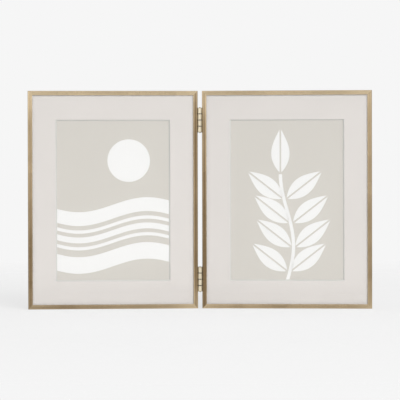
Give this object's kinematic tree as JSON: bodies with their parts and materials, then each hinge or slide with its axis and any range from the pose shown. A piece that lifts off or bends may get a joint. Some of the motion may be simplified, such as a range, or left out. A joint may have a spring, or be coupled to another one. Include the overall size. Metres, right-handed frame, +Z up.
{
  "type": "hinged double photo frame",
  "caption": "Book-style folding photo frame in slim mitred brass: glazed leaves on butt hinges, with bevelled mats, prints and backing boards held by turn clips.",
  "frame": {"origin": "on the surface that the frame stands on, under the middle of its box", "axes": "+Z up, +X to the viewer's right along the pair of leaves, -Y out of the pictures"},
  "size_m": [0.372, 0.0292, 0.2352],
  "materials": {
    "frame_brass": "brushed, lightly aged",
    "hinge_brass": "satin",
    "screw_brass": "satin",
    "glass": "clear",
    "mat_board": "matt, pale warm grey",
    "print_paper": "matt",
    "backing": "charcoal flock on fibreboard",
    "clip_steel": "nickel plated",
    "rivet_steel": "nickel plated"
  },
  "bodies": {
    "left_leaf": {"left_bottom_rail": "frame_brass", "left_top_rail": "frame_brass", "left_hinge_rail": "frame_brass", "left_outer_rail": "frame_brass", "left_glass": "glass", "left_mat": "mat_board", "left_print": "print_paper", "left_backing_board": "backing", "left_clip_rivets": "rivet_steel", "left_hinge_screws": "screw_brass", "left_lower_hinge_plate": "hinge_brass", "left_upper_hinge_plate": "hinge_brass", "lower_hinge_pin": "hinge_brass", "upper_hinge_pin": "hinge_brass"},
    "right_leaf": {"right_bottom_rail": "frame_brass", "right_top_rail": "frame_brass", "right_hinge_rail": "frame_brass", "right_outer_rail": "frame_brass", "right_glass": "glass", "right_mat": "mat_board", "right_print": "print_paper", "right_backing_board": "backing", "right_clip_rivets": "rivet_steel", "right_hinge_screws": "screw_brass", "right_lower_hinge_plate": "hinge_brass", "right_upper_hinge_plate": "hinge_brass"},
    "left_bottom_clip": {"left_bottom_clip": "clip_steel"},
    "left_top_clip": {"left_top_clip": "clip_steel"},
    "left_hinge_clip": {"left_hinge_clip": "clip_steel"},
    "left_outer_clip": {"left_outer_clip": "clip_steel"},
    "right_bottom_clip": {"right_bottom_clip": "clip_steel"},
    "right_top_clip": {"right_top_clip": "clip_steel"},
    "right_hinge_clip": {"right_hinge_clip": "clip_steel"},
    "right_outer_clip": {"right_outer_clip": "clip_steel"}
  },
  "joints": [
    {"name": "fold", "type": "hinge", "parent": "left_leaf", "child": "right_leaf", "pos_m": [0, -0.00095, 0.1176], "axis": [0, 0, -1], "range_deg": [-20, 171]},
    {"name": "left_bottom_clip_turn", "type": "hinge", "parent": "left_leaf", "child": "left_bottom_clip", "pos_m": [-0.0941, -0.00078, 0.0155], "axis": [-0.0785, 0.9969, 0], "continuous": true},
    {"name": "left_top_clip_turn", "type": "hinge", "parent": "left_leaf", "child": "left_top_clip", "pos_m": [-0.0941, -0.00078, 0.2197], "axis": [-0.0785, 0.9969, 0], "continuous": true},
    {"name": "left_hinge_clip_turn", "type": "hinge", "parent": "left_leaf", "child": "left_hinge_clip", "pos_m": [-0.01824, 0.00519, 0.1176], "axis": [-0.0785, 0.9969, 0], "continuous": true},
    {"name": "left_outer_clip_turn", "type": "hinge", "parent": "left_leaf", "child": "left_outer_clip", "pos_m": [-0.16997, -0.00675, 0.1176], "axis": [-0.0785, 0.9969, 0], "continuous": true},
    {"name": "right_bottom_clip_turn", "type": "hinge", "parent": "right_leaf", "child": "right_bottom_clip", "pos_m": [0.0941, -0.00078, 0.0155], "axis": [0.0785, 0.9969, 0], "continuous": true},
    {"name": "right_top_clip_turn", "type": "hinge", "parent": "right_leaf", "child": "right_top_clip", "pos_m": [0.0941, -0.00078, 0.2197], "axis": [0.0785, 0.9969, 0], "continuous": true},
    {"name": "right_hinge_clip_turn", "type": "hinge", "parent": "right_leaf", "child": "right_hinge_clip", "pos_m": [0.01824, 0.00519, 0.1176], "axis": [0.0785, 0.9969, 0], "continuous": true},
    {"name": "right_outer_clip_turn", "type": "hinge", "parent": "right_leaf", "child": "right_outer_clip", "pos_m": [0.16997, -0.00675, 0.1176], "axis": [0.0785, 0.9969, 0], "continuous": true}
  ]
}
